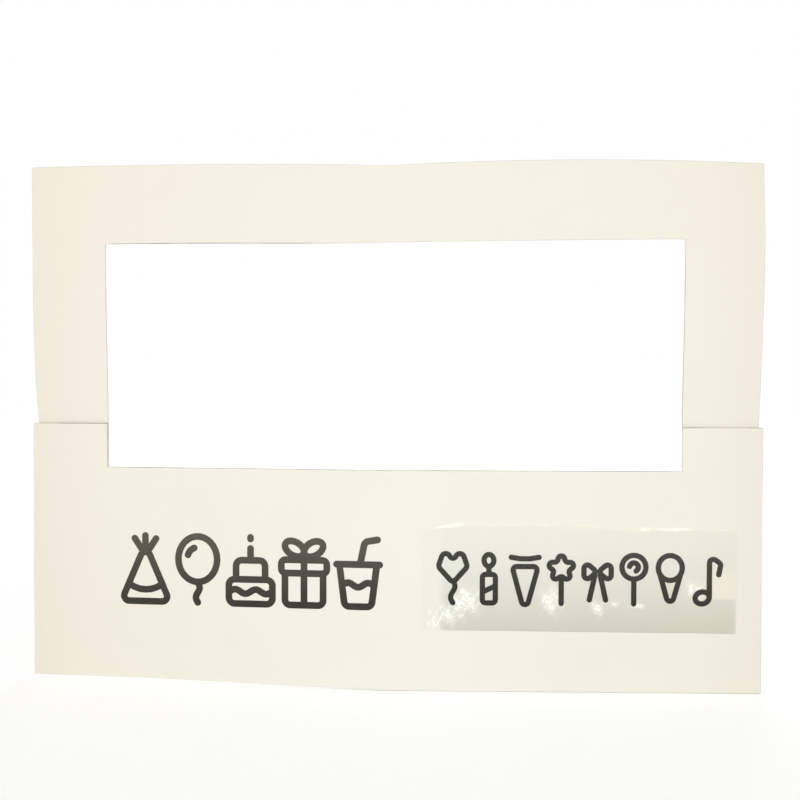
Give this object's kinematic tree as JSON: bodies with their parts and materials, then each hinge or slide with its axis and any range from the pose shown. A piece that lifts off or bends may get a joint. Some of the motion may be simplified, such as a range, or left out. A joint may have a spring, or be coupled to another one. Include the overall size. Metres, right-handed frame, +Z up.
{
  "type": "photo booth frame",
  "caption": "Hand-held card picture frame of creased boards lapped at the uprights, with a wide opening, line-drawn vinyl stickers and a clear transfer film.",
  "frame": {"origin": "middle of the bottom edge, halfway between the foremost and hindmost points of the folded card", "axes": "+X to the right as the front is seen, +Y out of the back, +Z up"},
  "size_m": [0.6996, 0.0174, 0.5003],
  "materials": {
    "card": "matt",
    "tape": "matt",
    "vinyl": "satin",
    "film": "gloss"
  },
  "bodies": {
    "left_half": {"upper_left_leaf": "card", "lower_left_leaf": "card", "left_lap_tape": "tape", "hat_sticker": "vinyl", "balloon_sticker": "vinyl", "cake_sticker": "vinyl", "gift_sticker": "vinyl", "cup_sticker": "vinyl"},
    "right_half": {"upper_right_leaf": "card", "lower_right_leaf": "card", "right_lap_tape": "tape", "heart_sticker": "vinyl", "candle_sticker": "vinyl", "pennant_sticker": "vinyl", "wand_sticker": "vinyl", "bow_sticker": "vinyl", "lollipop_sticker": "vinyl", "cone_sticker": "vinyl", "note_sticker": "vinyl"},
    "film": {"transfer_film": "film"}
  },
  "joints": [
    {"name": "centre_fold", "type": "hinge", "parent": "left_half", "child": "right_half", "pos_m": [0, -0.00672, 0.25], "axis": [0, 0, 1], "range_deg": [-4.4, 173.6]},
    {"name": "film_peel", "type": "hinge", "parent": "right_half", "child": "film", "pos_m": [0.17945, -0.00208, 0.156], "axis": [-0.9993, -0.0384, 0], "range_deg": [0, 150]}
  ]
}
